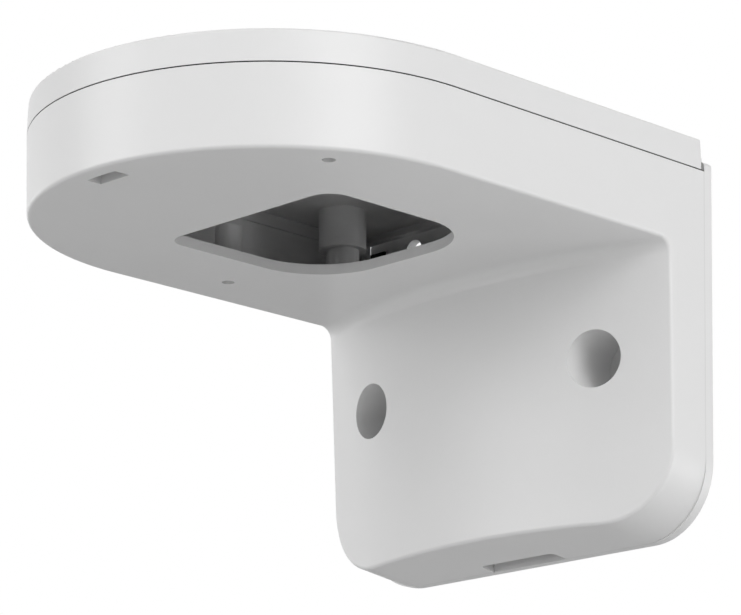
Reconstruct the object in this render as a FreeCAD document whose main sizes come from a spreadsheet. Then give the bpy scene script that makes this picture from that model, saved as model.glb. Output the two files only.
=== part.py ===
import FreeCAD, Part
import math
import os
from types import SimpleNamespace

import Sketcher

# Wall bracket for a small dome camera, in millimetres.
# The wall is the plane Y = 0, the arm reaches towards -Y, X runs across and Z is up.
# The origin is midway between the two upper wall screw holes, on the wall.

doc = FreeCAD.newDocument("camera_wall_bracket")
sheet = doc.addObject("Spreadsheet::Sheet", "Sizes")


class Size:
    """A size with its value and the expression that gives it from the sheet."""

    def __init__(self, value, text):
        self.value = float(value)
        self.text = text

    def __add__(self, other):
        other = sized(other)
        return Size(self.value + other.value, f"({self.text} + {other.text})")

    def __sub__(self, other):
        other = sized(other)
        return Size(self.value - other.value, f"({self.text} - {other.text})")

    def __mul__(self, other):
        other = sized(other)
        return Size(self.value * other.value, f"({self.text} * {other.text})")

    def __truediv__(self, other):
        other = sized(other)
        return Size(self.value / other.value, f"({self.text} / {other.text})")

    def __neg__(self):
        return Size(-self.value, f"(0 - {self.text})")

    def __rsub__(self, other):
        return sized(other) - self

    def root(self):
        return Size(math.sqrt(self.value), f"sqrt({self.text})")

    def sine(self):
        return Size(math.sin(math.radians(self.value)), f"sin({self.text})")

    def cosine(self):
        return Size(math.cos(math.radians(self.value)), f"cos({self.text})")

    def tangent(self):
        return Size(math.tan(math.radians(self.value)), f"tan({self.text})")


def sized(value):
    """Give a plain number as a size of its own."""
    return value if isinstance(value, Size) else Size(value, repr(value))


SIZES = {
    # Arm, seen from above: straight sides and a half round end, widest at the joint of the cover
    "arm_width": 122.0,
    "arm_reach": 154.5,
    "arm_depth": 20.4,
    "draft_angle": 1.5,
    "housing_wall": 2.7,
    "outer_edge_radius": 1.0,

    # Leg at the wall: its front is an arc in plan, which shrinks with the draft towards the foot
    "leg_height": 92.5,
    "leg_corner_radius": 20.0,
    "foot_slope": 8.0,
    "face_depth": 26.6,
    "face_radius": 178.0,
    "junction_radius": 3.5,

    # Joint between housing and cover
    "joint_gap": 0.35,
    "lip_height": 2.9,
    "lip_thickness": 1.1,
    "fit_clearance": 0.2,

    # Cover
    "cover_height": 8.4,
    "cover_wall": 2.4,
    "cover_roof": 1.9,
    "cover_edge_radius": 0.6,
    "cover_end_gap": 1.1,
    "cover_notch_height": 4.65,
    "cover_notch_lap": 1.0,

    # Seal
    "seal_recess": 0.8,
    "seal_clearance": 0.05,
    "seal_end_height": 2.5,
    "seal_end_width": 8.2,
    "seal_end_thickness": 0.7,

    # Back plate
    "plate_thickness": 2.75,
    "plate_shoulder": 2.8,
    "plate_crest": 5.8,
    "plate_crest_width": 116.0,
    "plate_corner_radius": 1.5,
    "plate_foot_radius": 19.0,
    "cable_hole": 30.0,

    # Wall screw holes: the upper row just above the joint of the cover, the lower row behind the bores
    "joint_drop": 0.75,
    "upper_columns": 82.6,
    "lower_columns": 78.4,
    "hole_rows": 48.8,
    "wall_hole": 5.8,
    "bore_diameter": 14.8,
    "bore_seat": 4.0,
    "bore_wall": 2.0,
    "rib_width": 1.6,

    # Opening in the floor of the arm, placed from the centre of the round end
    "opening_width": 58.8,
    "opening_ahead": 10.1,
    "opening_behind": 44.0,
    "opening_front_radius": 6.0,
    "opening_rear_radius": 19.4,

    # Camera mount round the same centre: two screw holes and a hook slot
    "camera_circle": 106.0,
    "camera_hole_angle": 30.0,
    "camera_hole": 3.4,
    "camera_post": 7.1,
    "camera_post_height": 14.8,
    "camera_post_end": 2.0,
    "hook_slot_width": 10.1,
    "hook_slot_inner": 51.5,
    "hook_slot_outer": 56.0,

    # Cable notch in the foot of the leg, against the back plate
    "foot_notch_width": 25.2,
    "foot_notch_depth": 5.5,
    "foot_notch_radius": 1.6,

    # Posts and bosses of the cover screws, placed from the sides, the wall and the far end
    "rear_boss_inset": 17.6,
    "rear_boss_reach": 28.0,
    "front_boss_inset": 29.0,
    "front_boss_setback": 23.0,
    "cover_boss": 12.8,
    "cover_boss_drop": 4.4,
    "cover_seat": 2.0,
    "cover_counterbore": 9.0,
    "cover_screw_hole": 4.5,
    "cover_post": 9.0,
    "cover_screw_shank": 4.0,
    "cover_screw_length": 12.0,
    "cover_screw_head": 8.0,
    "cover_screw_head_height": 2.8,
    "cover_screw_crown": 1.0,
    "cover_screw_flat": 5.2,
    "screw_tip_chamfer": 0.6,

    # Screws of the back plate, countersunk from behind, placed from the sides, the joint and the foot
    "plate_screw_inset": 11.0,
    "plate_screw_drop": 11.5,
    "plate_screw_foot_inset": 17.5,
    "plate_screw_foot_rise": 16.5,
    "plate_boss": 9.0,
    "plate_boss_length": 11.0,
    "plate_screw_shank": 3.5,
    "plate_screw_length": 12.0,
    "plate_screw_head": 6.8,
    "recess_width": 1.0,
    "recess_length": 3.6,
    "recess_depth": 1.4,
    "thread_clearance": 0.1,
    "tip_clearance": 1.0,
}

for row, (alias, value) in enumerate(SIZES.items(), 1):
    sheet.set(f"A{row}", alias)
    sheet.set(f"B{row}", str(value))
    sheet.setAlias(f"B{row}", alias)
doc.recompute()
sizes = SimpleNamespace(**{alias: Size(value, f"{sheet.Name}.{alias}") for alias, value in SIZES.items()})

# A cutting block runs this far past the faces that it goes through
OVERRUN = 1.0

# Levels and places that follow from the sizes
joint_level = -sizes.joint_drop
under_level = joint_level - sizes.arm_depth
foot_level = joint_level - sizes.leg_height
lower_row = -sizes.hole_rows
cover_top = joint_level + sizes.cover_height
roof_level = cover_top - sizes.cover_roof
boss_level = joint_level - sizes.cover_boss_drop
arm_half = sizes.arm_width / 2
round_centre = arm_half - sizes.arm_reach
lip_inset = sizes.housing_wall - sizes.lip_thickness
cover_end = sizes.plate_thickness + sizes.cover_end_gap
cover_end_inner = cover_end + sizes.cover_wall
notch_half = sizes.plate_crest_width / 2 - sizes.cover_notch_lap


def new_body(name):
    """Start a solid of sketched features."""
    body = doc.addObject("PartDesign::Body", name)
    body.Label = name
    return body


def new_sketch(body, name, role, offset=None):
    """Lay a sketch on an origin plane of its body, moved along the normal by the offset."""
    sketch = body.newObject("Sketcher::SketchObject", name)
    plane = next(feature for feature in body.Origin.OriginFeatures if feature.Role == role)
    sketch.AttachmentSupport = [(plane, "")]
    sketch.MapMode = "FlatFace"
    if offset is not None:
        sketch.AttachmentOffset.Base.z = offset.value
        sketch.setExpression("AttachmentOffset.Base.z", offset.text)
    return sketch


def bind_corner(sketch, edge, end, place, axis_name, axis):
    """Hold one end of an edge at its distance from the origin along one axis."""
    if place.value == 0:
        sketch.addConstraint(Sketcher.Constraint("PointOnObject", edge, end, axis))
        return
    index = sketch.addConstraint(Sketcher.Constraint(axis_name, -1, 1, edge, end, place.value))
    sketch.setExpression(f"Constraints[{index}]", place.text)


def draw_outline(sketch, corners):
    """Draw a closed outline of lines and arcs.

    Each corner is x, y and the radius of the arc to the next corner, or None for a line.
    The arc turns to the left of the way round, and to the right for a negative radius.
    """
    places = [(sized(x), sized(y)) for x, y, bend in corners]
    points = [FreeCAD.Vector(x.value, y.value, 0) for x, y in places]
    edges = []
    for number, (x, y, bend) in enumerate(corners):
        start = points[number]
        end = points[(number + 1) % len(points)]
        if bend is None:
            edges.append((sketch.addGeometry(Part.LineSegment(start, end), False), 1, 2))
            continue
        radius = abs(bend.value)
        chord = end - start
        height = math.sqrt(max(radius * radius - chord.Length * chord.Length / 4, 0.0))
        side = FreeCAD.Vector(-chord.y, chord.x, 0).normalize()
        turn = 1 if bend.value > 0 else -1
        centre = (start + end) * 0.5 + side * (height * turn)
        first, last = (start, end) if turn > 0 else (end, start)
        first_angle = math.atan2(first.y - centre.y, first.x - centre.x)
        last_angle = math.atan2(last.y - centre.y, last.x - centre.x)
        circle = Part.Circle(centre, FreeCAD.Vector(0, 0, 1), radius)
        arc = sketch.addGeometry(Part.ArcOfCircle(circle, first_angle, last_angle), False)
        edges.append((arc, 1, 2) if turn > 0 else (arc, 2, 1))
    for number, (edge, start_end, last_end) in enumerate(edges):
        before, before_start, before_last = edges[number - 1]
        sketch.addConstraint(Sketcher.Constraint("Coincident", before, before_last, edge, start_end))
        bind_corner(sketch, edge, start_end, places[number][0], "DistanceX", -2)
        bind_corner(sketch, edge, start_end, places[number][1], "DistanceY", -1)
        bend = corners[number][2]
        if bend is not None:
            size = bend if bend.value > 0 else -bend
            index = sketch.addConstraint(Sketcher.Constraint("Radius", edge, size.value))
            sketch.setExpression(f"Constraints[{index}]", size.text)


def draw_circle(sketch, x, y, diameter):
    """Draw a full circle by its centre and diameter."""
    x = sized(x)
    y = sized(y)
    centre = FreeCAD.Vector(x.value, y.value, 0)
    circle = Part.Circle(centre, FreeCAD.Vector(0, 0, 1), diameter.value / 2)
    edge = sketch.addGeometry(circle, False)
    bind_corner(sketch, edge, 3, x, "DistanceX", -2)
    bind_corner(sketch, edge, 3, y, "DistanceY", -1)
    index = sketch.addConstraint(Sketcher.Constraint("Diameter", edge, diameter.value))
    sketch.setExpression(f"Constraints[{index}]", diameter.text)


def extrude(body, kind, name, sketch, length, backwards=False):
    """Add a pad or a pocket of the given length."""
    feature = body.newObject(f"PartDesign::{kind}", name)
    feature.Profile = sketch
    feature.Length = length.value
    feature.setExpression("Length", length.text)
    feature.Reversed = backwards
    doc.recompute()
    return feature


def join(body, other):
    """Add another body to this one."""
    feature = body.newObject("PartDesign::Boolean", f"{body.Label}_join")
    feature.setObjects([other])
    feature.Type = "Fuse"
    doc.recompute()
    return feature


def fillet(body, name, radius, wanted):
    """Round the edges of the body that the given test picks."""
    base = body.Tip
    names = [f"Edge{i}" for i, edge in enumerate(base.Shape.Edges, 1) if wanted(edge)]
    feature = body.newObject("PartDesign::Fillet", name)
    feature.Base = (base, names)
    feature.Radius = radius.value
    feature.setExpression("Radius", radius.text)
    doc.recompute()
    return feature


def cylinder(name, x, y, z, diameter, length, along_wall_normal=False):
    """Make a cylinder that stands on a point, or runs from it towards the arm's end."""
    item = doc.addObject("Part::Cylinder", name)
    item.Radius = diameter.value / 2
    item.setExpression("Radius", (diameter / 2).text)
    item.Height = length.value
    item.setExpression("Height", length.text)
    if along_wall_normal:
        item.Placement.Rotation = FreeCAD.Rotation(FreeCAD.Vector(1, 0, 0), 90)
    place(item, x, y, z)
    return item


def block(name, x, y, z, width, depth, height):
    """Make a box from its lowest corner and its three sizes."""
    item = doc.addObject("Part::Box", name)
    for side, size in (("Length", width), ("Width", depth), ("Height", height)):
        item.setExpression(side, sized(size).text)
    place(item, x, y, z)
    return item


def place(item, x, y, z):
    """Bind the position of an object to its sizes."""
    for axis, value in (("x", x), ("y", y), ("z", z)):
        item.setExpression(f"Placement.Base.{axis}", sized(value).text)


def fuse(name, items):
    """Join several solids into one object."""
    joined = doc.addObject("Part::MultiFuse", name)
    joined.Shapes = items
    return joined


def combine(kind, name, base, tool):
    """Cut one object by another, or keep what they share."""
    result = doc.addObject(f"Part::{kind}", name)
    result.Base = base
    result.Tool = tool
    return result


def half_below(level):
    """Half width of the housing and the plate at a level: the draft narrows them downwards."""
    return arm_half + (level - joint_level) * sizes.draft_angle.tangent()


def half_above(level):
    """Half width of the cover at a level: the draft narrows it upwards."""
    return arm_half - (level - joint_level) * sizes.draft_angle.tangent()


def arm_outline(half, rear):
    """Plan of the arm: straight sides and a half circle at the far end."""
    return [
        (half, -rear, None),
        (-half, -rear, None),
        (-half, round_centre, half),
        (0, round_centre - half, half),
        (half, round_centre, None),
    ]


def leg_plan(half, inset, rear, level):
    """Plan of the leg at a level: straight sides, and a shallow arc in front that the draft draws in."""
    centre_y = sizes.face_radius - sizes.face_depth
    radius = sizes.face_radius - inset - (under_level - level) * sizes.draft_angle.tangent()
    side_y = centre_y - (radius * radius - half * half).root()
    return [
        (half, -rear, None),
        (-half, -rear, None),
        (-half, side_y, radius),
        (half, side_y, None),
    ]


def is_flat_at(face, level):
    """True for a face that lies level at the given height."""
    box = face.BoundBox
    return box.ZLength < 0.01 and abs(box.ZMin - level.value) < 0.01


def is_flank(face):
    """True for an upright face that doesn't lie along the wall."""
    return face.BoundBox.ZLength > 1 and face.BoundBox.YLength > 1


def lean(body, name, angle, is_hinge, is_leaning, inwards=False):
    """Lean some faces of a body by an angle about the plane of the face where they stay."""
    base = body.Tip
    faces = list(enumerate(base.Shape.Faces, 1))
    feature = body.newObject("PartDesign::Draft", name)
    feature.Base = (base, [f"Face{i}" for i, face in faces if is_leaning(face)])
    feature.NeutralPlane = (base, [next(f"Face{i}" for i, face in faces if is_hinge(face))])
    feature.Angle = angle.value
    feature.setExpression("Angle", angle.text)
    feature.Reversed = inwards
    doc.recompute()
    return feature


def arm_form(name, inset, rear, top):
    """The arm as one solid, narrower towards its floor, at full size or drawn in by a wall."""
    body = new_body(name)
    plan = new_sketch(body, f"{name}_plan", "XY_Plane", top)
    draw_outline(plan, arm_outline(half_below(top) - inset, rear))
    extrude(body, "Pad", f"{name}_block", plan, top - under_level - inset, backwards=True)
    lean(body, f"{name}_draft", sizes.draft_angle, lambda face: is_flat_at(face, top), is_flank, True)
    return body


def leg_form(name, inset, rear):
    """The leg as one solid: drafted sides, a sloped foot and two round corners."""
    body = new_body(name)
    top = joint_level
    lift = inset / sizes.foot_slope.cosine()
    foot = foot_level + lift + (rear - sizes.plate_thickness) * sizes.foot_slope.tangent()
    plan = new_sketch(body, f"{name}_plan", "XY_Plane", top)
    draw_outline(plan, leg_plan(half_below(top) - inset, inset, rear, top))
    extrude(body, "Pad", f"{name}_block", plan, top - foot, backwards=True)
    lean(body, f"{name}_draft", sizes.draft_angle, lambda face: is_flat_at(face, top), is_flank, True)
    lean(
        body,
        f"{name}_slope",
        sizes.foot_slope,
        lambda face: face.BoundBox.YLength < 0.01,
        lambda face: is_flat_at(face, foot),
        True,
    )
    fillet(body, f"{name}_corners", sizes.leg_corner_radius - inset, lambda edge: is_foot_corner(edge, foot))
    return body


def is_foot_corner(edge, foot):
    """The two edges where the foot meets the sides of the leg."""
    box = edge.BoundBox
    low = box.ZMin < foot.value + 0.01 and box.ZLength < box.YLength
    return low and abs(edge.CenterOfMass.x) > arm_half.value / 2


def make_housing():
    """The moulded arm and leg with its posts, bores and openings."""
    form = arm_form("housing_form", sized(0.0), sizes.plate_thickness, joint_level)
    join(form, leg_form("housing_leg", sized(0.0), sizes.plate_thickness))
    fillet(form, "junction_fillet", sizes.junction_radius, is_junction)
    fillet(form, "outer_edge_fillet", sizes.outer_edge_radius, is_outer_edge)
    lip_plan = new_sketch(form, "lip_plan", "XY_Plane", joint_level)
    draw_outline(lip_plan, arm_outline(arm_half - lip_inset, cover_end_inner + sizes.fit_clearance))
    extrude(form, "Pad", "lip", lip_plan, sizes.lip_height)

    above = joint_level + sizes.lip_height + OVERRUN
    cavity = arm_form("housing_cavity", sizes.housing_wall, sized(0.0), above)
    join(cavity, leg_form("housing_leg_cavity", sizes.housing_wall, sized(0.0)))
    shell = combine("Cut", "housing_shell", form, cavity)

    inner = []
    height = boss_level - under_level
    for number, (x, y) in enumerate(cover_screw_places()):
        inner.append(cylinder(f"cover_post_{number + 1}", x, y, under_level, sizes.cover_post, height))
    height = sizes.camera_post_height
    for number, (x, y) in enumerate(camera_hole_places()):
        inner.append(cylinder(f"camera_post_{number + 1}", x, y, under_level, sizes.camera_post, height))
    plate_front = -sizes.plate_thickness
    tube = sizes.bore_diameter + sizes.bore_wall * 2
    length = sizes.face_depth
    for number, side in enumerate((-1, 1)):
        x = sizes.lower_columns * side / 2
        inner.append(cylinder(f"bore_tube_{number + 1}", x, plate_front, lower_row, tube, length, True))
    length = sizes.plate_boss_length
    for number, (x, z) in enumerate(plate_screw_places()):
        inner.append(cylinder(f"plate_boss_{number + 1}", x, plate_front, z, sizes.plate_boss, length, True))
    inner.extend(make_ribs())
    trimmed = combine("Common", "housing_inner", fuse("housing_details", inner), form)
    joined = fuse("housing_joined", [shell, trimmed])

    housing = combine("Cut", "housing", joined, fuse("housing_openings", make_openings()))
    housing.Label = "housing"
    housing.Refine = True
    return housing


def is_level(edge, level):
    """True where the whole edge lies at one height."""
    return all(abs(vertex.Z - level.value) < 0.01 for vertex in edge.Vertexes)


def is_junction(edge):
    """The arc where the leg's face meets the underside of the arm."""
    place = edge.CenterOfMass.y
    at_face = -(sizes.face_depth + sizes.junction_radius).value < place < -sizes.face_depth.value / 2
    return at_face and is_level(edge, under_level) and edge.Length > arm_half.value


def is_outer_edge(edge):
    """The edges round the leg's face and the underside of the arm, all but those at the wall."""
    box = edge.BoundBox
    at_wall = box.YMax > -sizes.face_depth.value / 2
    below = box.ZMax < under_level.value + 0.01
    low = box.ZMin < under_level.value - sizes.leg_corner_radius.value
    beyond = box.YMin < -2 * sizes.face_depth.value
    short = edge.Length < 3 * sizes.junction_radius.value
    return below and not at_wall and (low or beyond or short)


def cover_screw_places():
    """Plan places of the four screws of the cover."""
    rear_x = arm_half - sizes.rear_boss_inset
    front_x = arm_half - sizes.front_boss_inset
    front_y = sizes.front_boss_setback - sizes.arm_reach
    return [
        (-rear_x, -sizes.rear_boss_reach),
        (rear_x, -sizes.rear_boss_reach),
        (-front_x, front_y),
        (front_x, front_y),
    ]


def camera_hole_places():
    """Plan places of the two camera screws, across the round end's centre."""
    along = sizes.camera_circle / 2 * sizes.camera_hole_angle.cosine()
    aside = sizes.camera_circle / 2 * sizes.camera_hole_angle.sine()
    return [(-along, round_centre + aside), (along, round_centre - aside)]


def plate_screw_places():
    """Places of the four plate screws on the wall side, as X and Z."""
    upper = joint_level - sizes.plate_screw_drop
    lower = foot_level + sizes.plate_screw_foot_rise
    upper_x = arm_half - sizes.plate_screw_inset
    lower_x = arm_half - sizes.plate_screw_foot_inset
    return [(-upper_x, upper), (upper_x, upper), (-lower_x, lower), (lower_x, lower)]


def make_ribs():
    """Ribs that tie the bosses and the bore tubes to the walls of the leg."""
    ribs = []
    rib = sizes.rib_width
    rib_end = arm_half - sizes.housing_wall / 2
    boss_x = arm_half - sizes.plate_screw_inset
    foot_x = arm_half - sizes.plate_screw_foot_inset
    for number, side in enumerate((-1, 1)):
        inner_end = sizes.lower_columns / 2
        start = inner_end if side > 0 else -rib_end
        reach = rib_end - inner_end
        depth = sizes.bore_seat + sizes.plate_thickness
        front = -sizes.plate_thickness - depth
        ribs.append(block(f"bore_rib_{number + 1}", start, front, lower_row - rib / 2, reach, depth, rib))
        boss_start = boss_x if side > 0 else -rib_end
        ribs.append(
            block(
                f"boss_rib_{number + 1}",
                boss_start,
                -sizes.plate_thickness - sizes.plate_boss_length,
                joint_level - sizes.plate_screw_drop - rib / 2,
                rib_end - boss_x,
                sizes.plate_boss_length,
                rib,
            )
        )
        foot_start = foot_x * side - rib / 2
        ribs.append(
            block(
                f"foot_rib_{number + 1}",
                foot_start,
                -sizes.plate_thickness - sizes.plate_boss_length,
                foot_level + sizes.housing_wall / 2,
                rib,
                sizes.plate_boss_length,
                sizes.plate_screw_foot_rise,
            )
        )
    return ribs


def make_openings():
    """Everything that is cut out of the housing after its walls."""
    cuts = []
    floor = new_body("floor_openings")
    plan = new_sketch(floor, "opening_plan", "XY_Plane", under_level - OVERRUN)
    half = sizes.opening_width / 2
    front = round_centre - sizes.opening_ahead
    rear = round_centre + sizes.opening_behind
    draw_outline(
        plan,
        [
            (half - sizes.opening_rear_radius, rear, None),
            (sizes.opening_rear_radius - half, rear, sizes.opening_rear_radius),
            (-half, rear - sizes.opening_rear_radius, None),
            (-half, front + sizes.opening_front_radius, sizes.opening_front_radius),
            (sizes.opening_front_radius - half, front, None),
            (half - sizes.opening_front_radius, front, sizes.opening_front_radius),
            (half, front + sizes.opening_front_radius, None),
            (half, rear - sizes.opening_rear_radius, sizes.opening_rear_radius),
        ],
    )
    extrude(floor, "Pad", "opening", plan, sizes.housing_wall + 2 * OVERRUN)
    cuts.append(floor)

    hook = new_body("hook_slot")
    slot = new_sketch(hook, "hook_slot_plan", "XY_Plane", under_level - OVERRUN)
    slot_half = sizes.hook_slot_width / 2
    arc_drop = (sizes.hook_slot_outer * sizes.hook_slot_outer - slot_half * slot_half).root()
    draw_outline(
        slot,
        [
            (-slot_half, round_centre - sizes.hook_slot_inner, None),
            (-slot_half, round_centre - arc_drop, sizes.hook_slot_outer),
            (slot_half, round_centre - arc_drop, None),
            (slot_half, round_centre - sizes.hook_slot_inner, None),
        ],
    )
    extrude(hook, "Pad", "hook_slot_cut", slot, sizes.housing_wall + 2 * OVERRUN)
    cuts.append(hook)

    notch = new_body("foot_notch")
    notch_plan = new_sketch(notch, "foot_notch_plan", "XY_Plane", foot_level - OVERRUN)
    notch_side = sizes.foot_notch_width / 2
    back = OVERRUN - sizes.plate_thickness
    front_line = -sizes.plate_thickness - sizes.foot_notch_depth
    corner = sizes.foot_notch_radius
    draw_outline(
        notch_plan,
        [
            (notch_side, back, None),
            (-notch_side, back, None),
            (-notch_side, front_line + corner, corner),
            (corner - notch_side, front_line, None),
            (notch_side - corner, front_line, corner),
            (notch_side, front_line + corner, None),
        ],
    )
    extrude(notch, "Pad", "foot_notch_cut", notch_plan, sizes.housing_wall + 4 * OVERRUN)
    cuts.append(notch)

    seat = sizes.plate_thickness + sizes.bore_seat
    bore = sizes.bore_diameter
    length = sizes.face_depth
    for number, side in enumerate((-1, 1)):
        x = sizes.lower_columns * side / 2
        cuts.append(cylinder(f"bore_{number + 1}", x, -seat, lower_row, bore, length, True))
        cuts.append(cylinder(f"bore_hole_{number + 1}", x, 0, lower_row, sizes.wall_hole, length / 2, True))
    pilot = sizes.camera_post_height - sizes.camera_post_end + OVERRUN
    start = under_level - OVERRUN
    for number, (x, y) in enumerate(camera_hole_places()):
        cuts.append(cylinder(f"camera_hole_{number + 1}", x, y, start, sizes.camera_hole, pilot))
    depth = sizes.cover_screw_length - sizes.cover_seat + sizes.tip_clearance
    shank = sizes.cover_screw_shank + sizes.thread_clearance
    for number, (x, y) in enumerate(cover_screw_places()):
        cuts.append(cylinder(f"cover_thread_{number + 1}", x, y, boss_level - depth, shank, depth + OVERRUN))
    shank = sizes.plate_screw_shank + sizes.thread_clearance
    depth = sizes.plate_screw_length + sizes.tip_clearance
    for number, (x, z) in enumerate(plate_screw_places()):
        cuts.append(cylinder(f"plate_thread_{number + 1}", x, 0, z, shank, depth, True))
    return cuts


def make_cover():
    """The flat cap on the arm, with the bosses of its four screws."""
    body = new_body("top_cover")
    lowest = joint_level + sizes.joint_gap
    rim = new_sketch(body, "cover_rim_plan", "XY_Plane", lowest)
    draw_outline(rim, arm_outline(half_above(lowest), cover_end))
    extrude(body, "Pad", "cover_block", rim, cover_top - lowest)
    lean(body, "cover_draft", sizes.draft_angle, lambda face: is_flat_at(face, lowest), is_flank)
    fillet(body, "cover_top_fillet", sizes.cover_edge_radius, lambda edge: is_level(edge, cover_top))
    hollow = new_sketch(body, "cover_hollow_plan", "XY_Plane", lowest)
    draw_outline(hollow, arm_outline(half_above(cover_top) - sizes.cover_wall, cover_end_inner))
    extrude(body, "Pocket", "cover_hollow", hollow, roof_level - lowest, backwards=True)
    rebate = new_sketch(body, "cover_rebate_plan", "XY_Plane", lowest)
    draw_outline(rebate, arm_outline(arm_half - lip_inset + sizes.fit_clearance, cover_end_inner))
    rebate_depth = sizes.lip_height + sizes.fit_clearance - sizes.joint_gap
    extrude(body, "Pocket", "cover_rebate", rebate, rebate_depth, backwards=True)
    notch = new_sketch(body, "cover_notch_plan", "XY_Plane", lowest)
    draw_outline(
        notch,
        [
            (notch_half, OVERRUN / 2 - cover_end, None),
            (-notch_half, OVERRUN / 2 - cover_end, None),
            (-notch_half, -cover_end_inner - OVERRUN / 2, None),
            (notch_half, -cover_end_inner - OVERRUN / 2, None),
        ],
    )
    extrude(body, "Pocket", "cover_notch", notch, sizes.cover_notch_height - sizes.joint_gap, backwards=True)
    bosses = new_sketch(body, "cover_boss_plan", "XY_Plane", boss_level)
    bores = new_sketch(body, "cover_counterbore_plan", "XY_Plane", boss_level + sizes.cover_seat)
    holes = new_sketch(body, "cover_hole_plan", "XY_Plane", boss_level)
    for x, y in cover_screw_places():
        draw_circle(bosses, x, y, sizes.cover_boss)
        draw_circle(bores, x, y, sizes.cover_counterbore)
        draw_circle(holes, x, y, sizes.cover_screw_hole)
    extrude(body, "Pad", "cover_bosses", bosses, roof_level + sizes.cover_roof / 2 - boss_level)
    extrude(body, "Pocket", "cover_counterbores", bores, cover_top - boss_level, backwards=True)
    extrude(body, "Pocket", "cover_screw_holes", holes, sizes.cover_seat * 2, backwards=True)
    return body


def make_seal():
    """Thin rubber strip in the joint, turned up at both ends against the back plate."""
    body = new_body("cover_seal")
    inner_inset = lip_inset - sizes.seal_clearance
    half = arm_half - sizes.seal_recess
    inner_half = arm_half - inner_inset
    strip = new_sketch(body, "seal_plan", "XY_Plane", joint_level)
    draw_outline(
        strip,
        [
            (half, -sizes.plate_thickness, None),
            (inner_half, -sizes.plate_thickness, None),
            (inner_half, round_centre, -inner_half),
            (0, round_centre - inner_half, -inner_half),
            (-inner_half, round_centre, None),
            (-inner_half, -sizes.plate_thickness, None),
            (-half, -sizes.plate_thickness, None),
            (-half, round_centre, half),
            (0, round_centre - half, half),
            (half, round_centre, None),
        ],
    )
    extrude(body, "Pad", "seal_strip", strip, sizes.joint_gap)
    ends = new_sketch(body, "seal_end_plan", "XY_Plane", joint_level)
    for side in (-1, 1):
        outer = half * side
        inner = (half - sizes.seal_end_width) * side
        left, right = (outer, inner) if side < 0 else (inner, outer)
        draw_outline(
            ends,
            [
                (right, -sizes.plate_thickness, None),
                (left, -sizes.plate_thickness, None),
                (left, -sizes.plate_thickness - sizes.seal_end_thickness, None),
                (right, -sizes.plate_thickness - sizes.seal_end_thickness, None),
            ],
        )
    extrude(body, "Pad", "seal_ends", ends, sizes.seal_end_height)
    return body


def make_plate():
    """Flat plate against the wall, with the wall screw holes and a cable hole."""
    body = new_body("back_plate")
    front = new_sketch(body, "plate_front", "XZ_Plane")
    corner = sizes.plate_corner_radius
    shoulder = joint_level + sizes.plate_shoulder
    crest = joint_level + sizes.plate_crest
    crest_half = sizes.plate_crest_width / 2
    half = half_below(shoulder - corner)
    foot_corner = sizes.plate_foot_radius
    foot_x = half_below(foot_level + foot_corner) - foot_corner / sizes.draft_angle.cosine()
    side_x = foot_x + foot_corner * sizes.draft_angle.cosine()
    side_z = foot_level + foot_corner - foot_corner * sizes.draft_angle.sine()
    draw_outline(
        front,
        [
            (half, shoulder - corner, corner),
            (half - corner, shoulder, None),
            (crest_half, shoulder, None),
            (crest_half, crest - corner, corner),
            (crest_half - corner, crest, None),
            (corner - crest_half, crest, corner),
            (-crest_half, crest - corner, None),
            (-crest_half, shoulder, None),
            (corner - half, shoulder, corner),
            (-half, shoulder - corner, None),
            (-side_x, side_z, foot_corner),
            (-foot_x, foot_level, None),
            (foot_x, foot_level, foot_corner),
            (side_x, side_z, None),
        ],
    )
    extrude(body, "Pad", "plate", front, sizes.plate_thickness)
    holes = new_sketch(body, "plate_holes", "XZ_Plane")
    for side in (-1, 1):
        draw_circle(holes, sizes.upper_columns * side / 2, 0, sizes.wall_hole)
        draw_circle(holes, sizes.lower_columns * side / 2, lower_row, sizes.wall_hole)
    draw_circle(holes, 0, lower_row / 2, sizes.cable_hole)
    for x, z in plate_screw_places():
        draw_circle(holes, x, z, sizes.plate_screw_shank + sizes.thread_clearance)
    extrude(body, "Pocket", "plate_through_holes", holes, sizes.plate_thickness, backwards=True)
    sink = (sizes.plate_screw_head - sizes.plate_screw_shank) / 2
    countersink(body, sink)
    return body


def countersink(body, sink):
    """Countersink the small screw holes on the wall side of the plate."""
    base = body.Tip
    radius = (sizes.plate_screw_shank.value + sizes.thread_clearance.value) / 2
    names = []
    for number, edge in enumerate(base.Shape.Edges, 1):
        round_edge = isinstance(edge.Curve, Part.Circle) and abs(edge.Curve.Radius - radius) < 0.01
        if round_edge and abs(edge.BoundBox.YMax) < 0.01 and edge.BoundBox.YLength < 0.01:
            names.append(f"Edge{number}")
    feature = body.newObject("PartDesign::Chamfer", "plate_countersinks")
    feature.Base = (base, names)
    feature.Size = sink.value
    feature.setExpression("Size", sink.text)
    doc.recompute()


def make_screw(name, profile):
    """Turn a screw from its half profile, with a cross recess in its head."""
    body = new_body(name)
    section = new_sketch(body, f"{name}_profile", "XZ_Plane")
    draw_outline(section, profile)
    turned = body.newObject("PartDesign::Revolution", f"{name}_turned")
    turned.Profile = section
    turned.ReferenceAxis = (section, ["V_Axis"])
    turned.Angle = 360
    doc.recompute()
    highest = max(profile, key=lambda corner: sized(corner[1]).value)[1]
    cross = new_sketch(body, f"{name}_cross", "XY_Plane", sized(highest))
    arm = sizes.recess_length / 2
    half = sizes.recess_width / 2
    draw_outline(
        cross,
        [
            (arm, half, None),
            (half, half, None),
            (half, arm, None),
            (-half, arm, None),
            (-half, half, None),
            (-arm, half, None),
            (-arm, -half, None),
            (-half, -half, None),
            (-half, -arm, None),
            (half, -arm, None),
            (half, -half, None),
            (arm, -half, None),
        ],
    )
    extrude(body, "Pocket", f"{name}_recess", cross, sizes.recess_depth)
    return body


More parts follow.
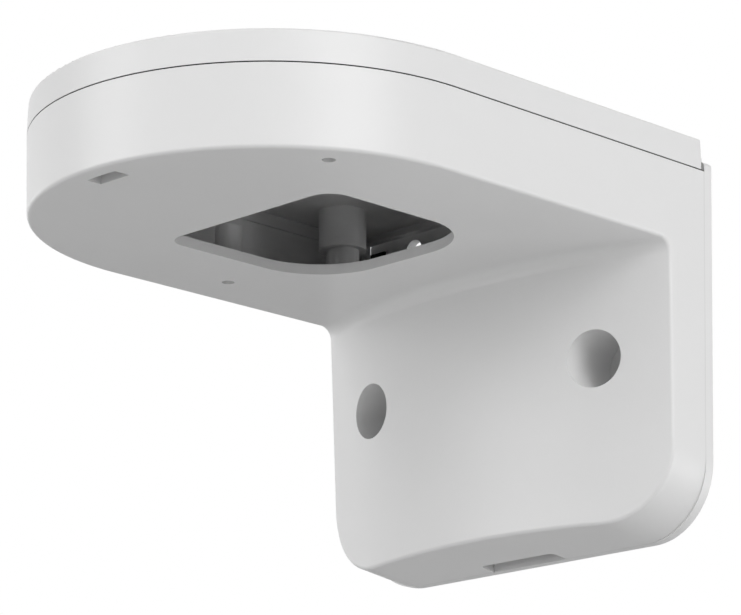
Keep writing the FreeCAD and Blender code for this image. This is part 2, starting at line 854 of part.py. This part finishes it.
def make_screws():
    """The four cover screws and the four plate screws in their places."""
    screws = []
    shank = sizes.cover_screw_shank / 2
    head = sizes.cover_screw_head / 2
    pan_profile = [
        (0, -sizes.cover_screw_length, None),
        (shank - sizes.screw_tip_chamfer, -sizes.cover_screw_length, None),
        (shank, sizes.screw_tip_chamfer - sizes.cover_screw_length, None),
        (shank, 0, None),
        (head, 0, None),
        (head, sizes.cover_screw_head_height - sizes.cover_screw_crown, None),
        (sizes.cover_screw_flat / 2, sizes.cover_screw_head_height, None),
        (0, sizes.cover_screw_head_height, None),
    ]
    names = ("rear_left", "rear_right", "front_left", "front_right")
    for name, (x, y) in zip(names, cover_screw_places()):
        screw = make_screw(f"cover_screw_{name}", pan_profile)
        place(screw, x, y, boss_level + sizes.cover_seat)
        screws.append(screw)
    shank = sizes.plate_screw_shank / 2
    head = sizes.plate_screw_head / 2
    sunk_profile = [
        (0, -sizes.plate_screw_length, None),
        (shank - sizes.screw_tip_chamfer, -sizes.plate_screw_length, None),
        (shank, sizes.screw_tip_chamfer - sizes.plate_screw_length, None),
        (shank, shank - head, None),
        (head, 0, None),
        (0, 0, None),
    ]
    names = ("upper_left", "upper_right", "lower_left", "lower_right")
    for name, (x, z) in zip(names, plate_screw_places()):
        screw = make_screw(f"plate_screw_{name}", sunk_profile)
        screw.Placement.Rotation = FreeCAD.Rotation(FreeCAD.Vector(1, 0, 0), -90)
        place(screw, x, 0, z)
        screws.append(screw)
    return screws


def check_document():
    """Stop if any object of the document failed."""
    for item in doc.Objects:
        if "Invalid" in item.State or "Error" in item.State:
            raise RuntimeError(f"{item.Label} failed: {item.State}")


def write_parts(nodes):
    """Write each piece to its own file."""
    os.makedirs("parts", exist_ok=True)
    for node in nodes:
        shape = node.Shape
        if shape.isNull() or not shape.isValid() or len(shape.Solids) != 1:
            raise RuntimeError(f"{node.Label} is not one valid solid")
        shape.exportStep(f"parts/{node.Label}.step")
        print(node.Label, round(shape.Volume, 1), len(shape.Faces))


nodes = [make_housing(), make_cover(), make_seal(), make_plate()] + make_screws()
doc.recompute()
check_document()
write_parts(nodes)
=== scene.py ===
import logging
import math
from dataclasses import dataclass, field
from enum import Enum

import bpy
import numpy as np
from mathutils import Matrix, Vector


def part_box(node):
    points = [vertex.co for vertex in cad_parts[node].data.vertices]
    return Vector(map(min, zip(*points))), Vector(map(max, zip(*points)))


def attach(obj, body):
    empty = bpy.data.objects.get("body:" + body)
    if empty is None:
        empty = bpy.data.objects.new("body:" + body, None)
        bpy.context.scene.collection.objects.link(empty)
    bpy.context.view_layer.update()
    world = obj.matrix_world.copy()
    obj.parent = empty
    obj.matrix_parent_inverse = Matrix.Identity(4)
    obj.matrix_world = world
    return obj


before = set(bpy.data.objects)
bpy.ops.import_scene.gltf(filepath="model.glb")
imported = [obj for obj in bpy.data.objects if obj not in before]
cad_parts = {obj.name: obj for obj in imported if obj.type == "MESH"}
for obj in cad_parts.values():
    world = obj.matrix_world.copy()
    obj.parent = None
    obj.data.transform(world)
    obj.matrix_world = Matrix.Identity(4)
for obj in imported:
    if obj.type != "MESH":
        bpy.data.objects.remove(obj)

log = logging.getLogger("wall_bracket")
logging.basicConfig(level=logging.INFO, format="%(name)s: %(message)s")

MILLIMETRE = 0.001
Colour = tuple[float, float, float, float]


class Axis(Enum):
    """The axis that a round piece lies on."""

    X = 0
    Y = 1
    Z = 2


def grey(level: float) -> Colour:
    """Give a neutral colour of one level.

    Args:
        level: linear brightness from 0 to 1.

    Returns:
        The colour with full alpha.
    """
    return (level, level, level, 1.0)


def put_in_scene(name: str, data: bpy.types.ID) -> bpy.types.Object:
    """Make an object at the origin and link it to the scene.

    Args:
        name: the object's name.
        data: its mesh, lamp or camera.

    Returns:
        The object.
    """
    made = bpy.data.objects.new(name, data)
    bpy.context.scene.collection.objects.link(made)
    return made


def lay_mesh(
    name: str, places: np.ndarray, faces: list[list[int]], material: bpy.types.Material
) -> bpy.types.Object:
    """Make a mesh object at the origin.

    Args:
        name: name of the mesh and of its object.
        places: one row of X, Y and Z per vertex, in metres.
        faces: the numbers of each face's vertices.
        material: what it is made of.

    Returns:
        The object.
    """
    mesh = bpy.data.meshes.new(name)
    mesh.from_pydata(places.tolist(), [], faces)
    mesh.materials.append(material)
    return put_in_scene(name, mesh)


class Signal:
    """A number that comes out of a shader socket, with Python arithmetic on it."""

    def __init__(self, recipe: "Recipe", socket: bpy.types.NodeSocket) -> None:
        """Keep the socket and the recipe whose nodes the arithmetic adds to."""
        self.recipe = recipe
        self.socket = socket

    def maths(self, operation: str, first: "Signal | float", second: "Signal | float") -> "Signal":
        """Add one Math node.

        Args:
            operation: Blender's name of the operation.
            first: the upper value or link.
            second: the lower value or link.

        Returns:
            The result as a signal.
        """
        node = self.recipe.node("ShaderNodeMath", {"operation": operation}, {0: first, 1: second})
        return Signal(self.recipe, node.outputs[0])

    def __add__(self, other: "Signal | float") -> "Signal":
        """Add two values."""
        return self.maths("ADD", self, other)

    __radd__ = __add__

    def __mul__(self, other: "Signal | float") -> "Signal":
        """Multiply two values."""
        return self.maths("MULTIPLY", self, other)

    __rmul__ = __mul__

    def __sub__(self, other: "Signal | float") -> "Signal":
        """Take the other value away from this one."""
        return self.maths("SUBTRACT", self, other)

    def __rsub__(self, other: float) -> "Signal":
        """Take this value away from a number."""
        return self.maths("SUBTRACT", other, self)

    def __abs__(self) -> "Signal":
        """Drop the sign."""
        return self.maths("ABSOLUTE", self, 0.0)

    def larger(self, other: "Signal | float") -> "Signal":
        """Give the larger of two values."""
        return self.maths("MAXIMUM", self, other)

    def blend(self, other: "Signal", share: float) -> "Signal":
        """Add two signals by their shares.

        Args:
            other: the signal that takes what is left of 1.
            share: this signal's share, from 0 to 1.

        Returns:
            This signal times its share, plus the other times the rest.
        """
        return self * share + other * (1.0 - share)


class Recipe:
    """The node tree of one finish, or of the surroundings."""

    def __init__(self, owner: bpy.types.Material | bpy.types.World) -> None:
        """Empty the owner's node tree, to fill it again."""
        owner.use_nodes = True
        self.owner = owner
        self.nodes = owner.node_tree.nodes
        self.links = owner.node_tree.links
        self.nodes.clear()

    def node(
        self, kind: str, settings: dict[str, object], sockets: dict[int | str, object]
    ) -> bpy.types.Node:
        """Add a node.

        Args:
            kind: the node's type.
            settings: properties of the node, which are set first.
            sockets: values or links for the inputs, by name or number.

        Returns:
            The node.
        """
        made = self.nodes.new(kind)
        for key, value in settings.items():
            setattr(made, key, value)
        for key, value in sockets.items():
            if isinstance(value, Signal):
                self.links.new(value.socket, made.inputs[key])
            elif isinstance(value, bpy.types.NodeSocket):
                self.links.new(value, made.inputs[key])
            else:
                made.inputs[key].default_value = value
        return made

    def place(self) -> bpy.types.NodeSocket:
        """Give the object's own coordinates, in metres."""
        return self.node("ShaderNodeTexCoord", {}, {}).outputs["Object"]

    def depth(self) -> Signal:
        """Give the distance along Y, towards the wall, in metres."""
        return Signal(self, self.node("ShaderNodeSeparateXYZ", {}, {0: self.place()}).outputs["Y"])

    def noise(self, size: float, detail: float, place: bpy.types.NodeSocket | None = None) -> Signal:
        """Add even noise.

        Args:
            size: length of one blotch in metres.
            detail: number of finer layers on top.
            place: coordinates to read, or the object's own.

        Returns:
            The noise, about one half on average.
        """
        sockets = {"Vector": place or self.place(), "Scale": 1.0 / size, "Detail": detail}
        return Signal(self, self.node("ShaderNodeTexNoise", {}, sockets).outputs[0])

    def between(
        self, low: Colour | bpy.types.NodeSocket, high: Colour, share: Signal
    ) -> bpy.types.NodeSocket:
        """Mix two colours by a signal.

        Args:
            low: the colour, or the link of a colour, at a signal of 0.
            high: the colour at a signal of 1.
            share: the signal.

        Returns:
            The socket of the mixed colour.
        """
        sockets = {0: share, 6: low, 7: high}
        return self.node("ShaderNodeMix", {"data_type": "RGBA"}, sockets).outputs[2]

    def relief(self, height: Signal, depth: float, strength: float) -> bpy.types.NodeSocket:
        """Turn a height signal into a bumped normal.

        Args:
            height: the surface's height, from 0 to 1.
            depth: what a height of 1 is in metres.
            strength: share of the bump that is kept.

        Returns:
            The socket of the normal.
        """
        sockets = {"Height": height, "Distance": depth, "Strength": strength}
        return self.node("ShaderNodeBump", {}, sockets).outputs["Normal"]

    def glow(self, strength: float) -> bpy.types.NodeSocket:
        """Give a plain white background of one strength."""
        sockets = {"Color": grey(1.0), "Strength": strength}
        return self.node("ShaderNodeBackground", {}, sockets).outputs[0]

    def close(self, shader: bpy.types.NodeSocket) -> bpy.types.Material | bpy.types.World:
        """Send a shader to the owner's output.

        Args:
            shader: the socket of the shader.

        Returns:
            The owner.
        """
        place = "World" if isinstance(self.owner, bpy.types.World) else "Material"
        self.node(f"ShaderNodeOutput{place}", {}, {"Surface": shader})
        return self.owner

    def surface(self, sockets: dict[int | str, object]) -> bpy.types.Material:
        """Close a material with one principled shader.

        Args:
            sockets: values or links for the shader's inputs.

        Returns:
            The finished material.
        """
        return self.close(self.node("ShaderNodeBsdfPrincipled", {}, sockets).outputs[0])


@dataclass(frozen=True)
class MouldedPlastic:
    """Pale plastic from a mould with a finely eroded surface."""

    name: str = "moulded_plastic"
    shade: float = 0.75
    shade_spread: float = 0.02
    cloud_in_shade: float = 0.7
    roughness: float = 0.38
    roughness_spread: float = 0.14
    grain_in_gloss: float = 0.6
    specular: float = 0.5
    cloud_size: float = 24 * MILLIMETRE
    cloud_layers: float = 3.0
    grain_size: float = 0.42 * MILLIMETRE
    grain_layers: float = 2.0
    grain_depth: float = 0.012 * MILLIMETRE
    grain_in_relief: float = 0.7
    relief_strength: float = 0.35
    pore_ratio: float = 3.1
    pore_layers: float = 1.0
    # painted shade: the seam fields darken a thin band of colour along the joint with the plate, for the
    # joint's shadow
    seam_width: float = 0.5 * MILLIMETRE
    seam_shadow_level: float = 0.4
    seam_shadow_strength: float = 0.24

    def make(self, seam: float | None = None) -> bpy.types.Material:
        """Mix slow clouds with a fine grain for the shade, the gloss and the relief.

        The painted shadow of the joint is 1 at the seam and falls evenly to 0 at the seam's width from
        it.

        Args:
            seam: Y of an edge that meets another moulding, where a thin band of painted shade darkens the
                colour as the joint's shadow.

        Returns:
            The material.
        """
        ending = "" if seam is None else "_seamed"
        recipe = Recipe(bpy.data.materials.new(self.name + ending))
        clouds = recipe.noise(self.cloud_size, self.cloud_layers)
        grain = recipe.noise(self.grain_size, self.grain_layers)
        pores = recipe.noise(self.grain_size * self.pore_ratio, self.pore_layers)
        darker = grey(self.shade - self.shade_spread)
        paler = grey(self.shade + self.shade_spread)
        colour = recipe.between(darker, paler, clouds.blend(grain, self.cloud_in_shade))
        if seam is not None:
            # painted shade: darken the colour in a thin band at the joint with the plate, standing in for
            # the joint's shadow
            line = (1.0 - abs(recipe.depth() - seam) * (1.0 / self.seam_width)).larger(0.0)
            colour = recipe.between(colour, grey(self.shade * self.seam_shadow_level), line * self.seam_shadow_strength)
        height = grain.blend(pores, self.grain_in_relief)
        sockets = {
            "Base Color": colour,
            "Roughness": (grain.blend(clouds, self.grain_in_gloss) - 0.5) * self.roughness_spread
            + self.roughness,
            "Normal": recipe.relief(height, self.grain_depth, self.relief_strength),
            "Specular IOR Level": self.specular,
        }
        return recipe.surface(sockets)


@dataclass(frozen=True)
class SoftRubber:
    """Dark rubber with a dusty bloom."""

    name: str = "seal_rubber"
    shade: float = 0.012
    bloom: float = 0.024
    cloud_in_shade: float = 0.8
    roughness: float = 0.62
    cloud_roughness: float = 0.16
    grain_roughness: float = 0.08
    specular: float = 0.22
    bloom_size: float = 3.5 * MILLIMETRE
    bloom_layers: float = 3.0
    grain_size: float = 0.3 * MILLIMETRE
    grain_layers: float = 2.0
    grain_depth: float = 0.01 * MILLIMETRE
    relief_strength: float = 0.4

    def make(self) -> bpy.types.Material:
        """Cloud the dark rubber with a paler bloom and give it a fine grain.

        Returns:
            The material.
        """
        recipe = Recipe(bpy.data.materials.new(self.name))
        clouds = recipe.noise(self.bloom_size, self.bloom_layers)
        grain = recipe.noise(self.grain_size, self.grain_layers)
        share = clouds.blend(grain, self.cloud_in_shade)
        smoothest = self.roughness - (self.cloud_roughness + self.grain_roughness) / 2
        sockets = {
            "Base Color": recipe.between(grey(self.shade), grey(self.bloom), share),
            "Roughness": clouds * self.cloud_roughness + grain * self.grain_roughness + smoothest,
            "Normal": recipe.relief(grain, self.grain_depth, self.relief_strength),
            "Specular IOR Level": self.specular,
        }
        return recipe.surface(sockets)


@dataclass(frozen=True)
class ZincSteel:
    """Zinc plated steel of a screw, with fine turning marks across its axis."""

    name: str = "zinc_steel"
    shade: float = 0.5
    shade_blue: float = 1.03
    bright: float = 0.68
    bright_blue: float = 0.96
    roughness: float = 0.3
    spangle_roughness: float = 0.16
    mark_roughness: float = 0.12
    spangle_size: float = 1.1 * MILLIMETRE
    spangle_layers: float = 3.0
    mark_size: float = 0.09 * MILLIMETRE
    mark_layers: float = 1.0
    mark_stretch: float = 0.04
    mark_depth: float = 0.01 * MILLIMETRE
    relief_strength: float = 0.3

    def make(self, along: Axis) -> bpy.types.Material:
        """Stretch a noise round the screw for the turning marks and cloud the zinc.

        Args:
            along: the axis that the screw lies on.

        Returns:
            The material.
        """
        recipe = Recipe(bpy.data.materials.new(f"{self.name}_{along.name.lower()}"))
        stretch = tuple(1.0 if axis is along else self.mark_stretch for axis in Axis)
        turned = recipe.node("ShaderNodeMapping", {}, {"Vector": recipe.place(), "Scale": stretch})
        marks = recipe.noise(self.mark_size, self.mark_layers, turned.outputs[0])
        spangle = recipe.noise(self.spangle_size, self.spangle_layers)
        warm = (self.bright, self.bright, self.bright * self.bright_blue, 1.0)
        cool = (self.shade, self.shade, self.shade * self.shade_blue, 1.0)
        smoothest = self.roughness - (self.spangle_roughness + self.mark_roughness) / 2
        sockets = {
            "Base Color": recipe.between(cool, warm, spangle),
            "Metallic": 1.0,
            "Roughness": spangle * self.spangle_roughness + marks * self.mark_roughness + smoothest,
            "Normal": recipe.relief(marks, self.mark_depth, self.relief_strength),
        }
        return recipe.surface(sockets)


def dress(node: str, material: bpy.types.Material) -> None:
    """Put a material on a CAD node.

    Args:
        node: the node's name.
        material: what it is made of.
    """
    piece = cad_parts[node]
    piece.data.materials.clear()
    piece.data.materials.append(material)
    low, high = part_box(node)
    size = [round((end - start) / MILLIMETRE, 1) for start, end in zip(low, high)]
    log.info("%s wears %s, %s mm", node, material.name, size)


@dataclass
class MouldedShell:
    """The housing, its cover and the back plate, all of the same pale plastic."""

    plastic: MouldedPlastic = field(default_factory=MouldedPlastic)

    def build(self) -> None:
        """Dress the three mouldings, the housing with a painted shadow line where it meets the plate."""
        plain = self.plastic.make()
        dress("top_cover", plain)
        dress("back_plate", plain)
        plate_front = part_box("back_plate")[0][1]
        dress("housing", self.plastic.make(plate_front))


@dataclass
class CoverJoint:
    """The thin rubber strip between the housing and the cover, with a lip that fills the joint."""

    rubber: SoftRubber = field(default_factory=SoftRubber)
    strip: str = "cover_seal"
    lip_name: str = "cover_seal_lip"
    gap: float = 0.35 * MILLIMETRE
    clearance: float = 0.01 * MILLIMETRE
    lip_reach: float = 0.74 * MILLIMETRE
    bend_steps: int = 96
    profile_steps: int = 12
    squareness: float = 0.35

    def build(self) -> None:
        """Dress the strip and lay the lip round its outside."""
        material = self.rubber.make()
        dress(self.strip, material)
        self.lay_lip(material)

    def lay_lip(self, material: bpy.types.Material) -> None:
        """Carry a rounded bar along the outline of the joint.

        The path runs along one straight side, round the half circle of the arm's end and back along
        the other side. The bar's section is a squarish oval: across and up are the cosine and the sine
        of one angle, each with its size raised to a power under 1, times half the reach and half the gap.

        Args:
            material: the rubber.
        """
        low, high = (np.array(corner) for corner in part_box(self.strip))
        inner = high[0] + self.clearance
        turn = np.linspace(0.0, math.pi, self.bend_steps)
        turn = np.concatenate([[0.0], turn, [math.pi]])
        pivot = np.full_like(turn, low[1] + high[0])
        pivot[[0, -1]] = high[1] - self.clearance
        angle = np.linspace(0.0, 2.0 * math.pi, self.profile_steps, endpoint=False)
        across = np.sign(np.cos(angle)) * np.abs(np.cos(angle)) ** self.squareness
        up = np.sign(np.sin(angle)) * np.abs(np.sin(angle)) ** self.squareness
        radius = inner + self.lip_reach / 2 * (1.0 + across)
        height = low[2] + self.gap / 2 + (self.gap / 2 - self.clearance) * up
        x = np.cos(turn)[:, None] * radius
        y = pivot[:, None] - np.sin(turn)[:, None] * radius
        z = np.broadcast_to(height, x.shape)
        places = np.stack([x, y, z], axis=-1).reshape(-1, 3)
        count = self.profile_steps
        row = np.arange(len(turn) - 1)[:, None] * count
        column = np.arange(count)
        start = (row + column).reshape(-1)
        after = (row + (column + 1) % count).reshape(-1)
        faces = np.stack([start, after, after + count, start + count], axis=-1).tolist()
        faces.append(list(range(count - 1, -1, -1)))
        faces.append(list(range(len(places) - count, len(places))))
        lip = lay_mesh(self.lip_name, places, faces, material)
        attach(lip, "root")
        log.info("%s laid with %d faces", self.lip_name, len(faces))


@dataclass
class Fasteners:
    """The screws of the cover, upright, and of the back plate, level."""

    steel: ZincSteel = field(default_factory=ZincSteel)
    sides: tuple[str, ...] = ("left", "right")
    cover_rows: tuple[str, ...] = ("rear", "front")
    plate_rows: tuple[str, ...] = ("upper", "lower")

    def build(self) -> None:
        """Dress the screws by the way they point."""
        upright = self.steel.make(Axis.Z)
        level = self.steel.make(Axis.Y)
        for side in self.sides:
            for row in self.cover_rows:
                dress(f"cover_screw_{row}_{side}", upright)
            for row in self.plate_rows:
                dress(f"plate_screw_{row}_{side}", level)


@dataclass(frozen=True)
class Lamp:
    """A soft square lamp that looks at the bracket, with its sizes in metres and its power in watts."""

    name: str
    place: tuple[float, float, float]
    width: float
    power: float

    def hang(self, target: Vector) -> None:
        """Hang the lamp in its place and turn it to the target.

        Args:
            target: the point that it looks at.
        """
        data = bpy.data.lights.new(self.name, "AREA")
        data.shape = "SQUARE"
        data.size = self.width
        data.energy = self.power
        lamp = put_in_scene(self.name, data)
        lamp.location = self.place
        lamp.rotation_mode = "QUATERNION"
        lamp.rotation_quaternion = (target - Vector(self.place)).to_track_quat("-Z", "Y")
        lamp.visible_camera = False
        log.info("lamp %s of %s W", self.name, self.power)


@dataclass
class Studio:
    """White surroundings, a pale floor well below, and soft lamps."""

    ambient: float = 0.03
    white: float = 1.0
    floor_level: float = -0.55
    floor_reach: float = 5.0
    floor_lines: int = 9
    floor_shade: float = 0.86
    floor_spread: float = 0.01
    floor_roughness: float = 0.9
    floor_cloud: float = 0.4
    floor_layers: float = 2.0
    target: tuple[float, float, float] = (0.0, -0.07, -0.04)
    lamps: tuple[Lamp, ...] = (
        Lamp("key", (-0.75, -1.25, 0.95), 0.8, 5.3),
        Lamp("front_left", (-0.8, -1.4, 0.1), 0.8, 6.8),
        Lamp("front_high", (0.2, -1.25, 1.0), 0.8, 3.4),
        Lamp("left", (-1.6, -0.3, 0.0), 0.8, 2.4),
        Lamp("right", (1.6, -0.35, 0.3), 0.9, 11.0),
        Lamp("right_front", (1.2, -1.1, 0.45), 0.8, 2.4),
        Lamp("right_high", (1.3, -0.6, 1.0), 0.8, 6.3),
        Lamp("rear_low", (0.3, 1.2, -0.45), 0.6, 4.8),
        Lamp("rear_low_right", (1.1, 0.9, -0.4), 0.5, 3.2),
    )

    def build(self) -> None:
        """Make the surroundings, the floor and the lamps."""
        self.surround()
        self.lay_floor()
        for lamp in self.lamps:
            lamp.hang(Vector(self.target))

    def surround(self) -> None:
        """White to the camera, in reflections and through glass, plain ambient light to the rest."""
        world = bpy.data.worlds.new("white_room")
        bpy.context.scene.world = world
        recipe = Recipe(world)
        rays = recipe.node("ShaderNodeLightPath", {}, {}).outputs
        camera, glossy, through = (
            Signal(recipe, rays[f"Is {kind} Ray"]) for kind in ("Camera", "Glossy", "Transmission")
        )
        seen = camera.larger(glossy).larger(through)
        sockets = {0: seen, 1: recipe.glow(self.ambient), 2: recipe.glow(self.white)}
        recipe.close(recipe.node("ShaderNodeMixShader", {}, sockets).outputs[0])

    def lay_floor(self) -> None:
        """Lay a level square floor as a grid.

        The two parameters run from -1 to 1 and give X and Y times the reach, at one level.
        """
        span = np.linspace(-1.0, 1.0, self.floor_lines) * self.floor_reach
        across, along = np.meshgrid(span, span, indexing="ij")
        level = np.full_like(across, self.floor_level)
        places = np.stack([across, along, level], axis=-1).reshape(-1, 3)
        step = np.arange(self.floor_lines - 1)
        corner = (step[:, None] * self.floor_lines + step).reshape(-1)
        beside = corner + self.floor_lines
        faces = np.stack([corner, beside, beside + 1, corner + 1], axis=-1).tolist()
        recipe = Recipe(bpy.data.materials.new("pale_floor"))
        darker = grey(self.floor_shade - self.floor_spread)
        paler = grey(self.floor_shade + self.floor_spread)
        colour = recipe.between(darker, paler, recipe.noise(self.floor_cloud, self.floor_layers))
        material = recipe.surface({"Base Color": colour, "Roughness": self.floor_roughness})
        lay_mesh("floor", places, faces, material)


@dataclass
class Viewpoint:
    """The camera, placed by the angles and distance found from the photograph."""

    azimuth: float = 45.085
    elevation: float = -15.464
    focal_pixels: float = 3330.4
    frame_width: float = 741.0
    sensor: float = 36.0
    aside: float = 42.973 * MILLIMETRE
    above: float = 22.214 * MILLIMETRE
    distance: float = 882.367 * MILLIMETRE
    datum: float = -0.75 * MILLIMETRE
    nearest: float = 0.05
    farthest: float = 50.0

    def build(self) -> None:
        """Make the camera and look through it."""
        turn = math.radians(self.azimuth)
        tilt = math.radians(self.elevation)
        back = Vector((math.sin(turn) * math.cos(tilt), -math.cos(turn) * math.cos(tilt), math.sin(tilt)))
        right = Vector((math.cos(turn), math.sin(turn), 0.0))
        up = back.cross(right)
        data = bpy.data.cameras.new("camera")
        data.sensor_width = self.sensor
        data.lens = self.sensor * self.focal_pixels / self.frame_width
        data.clip_start = self.nearest
        data.clip_end = self.farthest
        camera = put_in_scene("camera", data)
        datum = Vector((0.0, 0.0, self.datum))
        place = back * self.distance - right * self.aside - up * self.above + datum
        camera.matrix_world = Matrix.Translation(place) @ Matrix((right, up, back)).transposed().to_4x4()
        bpy.context.scene.camera = camera
        log.info("camera at %s, lens %.1f mm", [round(value, 4) for value in place], data.lens)


def main() -> None:
    """Dress the bracket, then set the studio and the camera, and note the sizes."""
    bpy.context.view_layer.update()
    bpy.context.scene.view_settings.view_transform = "Standard"
    MouldedShell().build()
    CoverJoint().build()
    Fasteners().build()
    Studio().build()
    Viewpoint().build()


if __name__ == "__main__":
    main()
